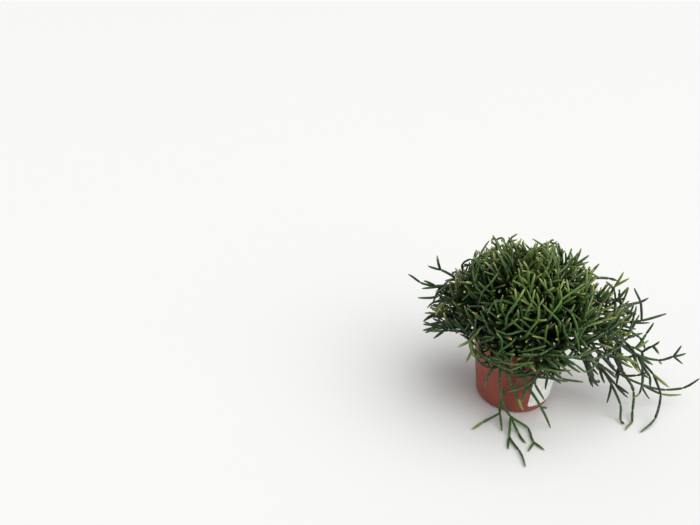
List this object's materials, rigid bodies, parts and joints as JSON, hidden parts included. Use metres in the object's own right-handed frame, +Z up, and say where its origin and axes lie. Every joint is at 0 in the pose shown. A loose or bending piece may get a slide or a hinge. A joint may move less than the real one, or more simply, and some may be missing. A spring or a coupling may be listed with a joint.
{
  "type": "potted mistletoe cactus",
  "caption": "Leafless forking mistletoe cactus in a tapered round nursery pot: a dense crown of pencil-thin jointed stems, with long sprays hanging over the rim to the ground.",
  "frame": {"origin": "centre of the flat underside of the pot, on the ground", "axes": "+Z up, -Y to the front where the label is, +X to the side that the long stems hang to"},
  "size_m": [0.3893, 0.257, 0.218],
  "materials": {
    "pot_plastic": "satin",
    "potting_mix": "matte",
    "label_paper": "satin",
    "stem": "satin"
  },
  "bodies": {
    "root": {"pot": "pot_plastic", "soil": "potting_mix", "label": "label_paper", "crown_spray_01": "stem", "crown_spray_02": "stem", "crown_spray_03": "stem", "crown_spray_04": "stem", "crown_spray_05": "stem", "crown_spray_06": "stem", "crown_spray_07": "stem", "crown_spray_08": "stem", "crown_spray_09": "stem", "crown_spray_10": "stem", "crown_spray_11": "stem", "crown_spray_12": "stem", "crown_spray_13": "stem", "crown_spray_14": "stem", "crown_spray_15": "stem", "crown_spray_16": "stem", "crown_spray_17": "stem", "crown_spray_18": "stem", "crown_spray_19": "stem", "crown_spray_20": "stem", "rim_spray_01": "stem", "rim_spray_02": "stem", "rim_spray_03": "stem", "rim_spray_04": "stem", "rim_spray_05": "stem", "rim_spray_06": "stem", "rim_spray_07": "stem", "rim_spray_08": "stem", "rim_spray_09": "stem", "rim_spray_10": "stem", "rim_spray_11": "stem", "rim_spray_12": "stem", "rim_spray_13": "stem", "rim_spray_14": "stem", "rim_spray_15": "stem", "trailing_spray_01": "stem", "trailing_spray_02": "stem", "trailing_spray_03": "stem", "trailing_spray_04": "stem", "trailing_spray_05": "stem", "trailing_spray_06": "stem", "trailing_spray_07": "stem", "trailing_spray_08": "stem", "trailing_spray_09": "stem", "trailing_spray_10": "stem", "trailing_spray_11": "stem", "trailing_spray_12": "stem", "trailing_spray_13": "stem", "trailing_spray_14": "stem", "trailing_spray_15": "stem"}
  },
  "joints": []
}
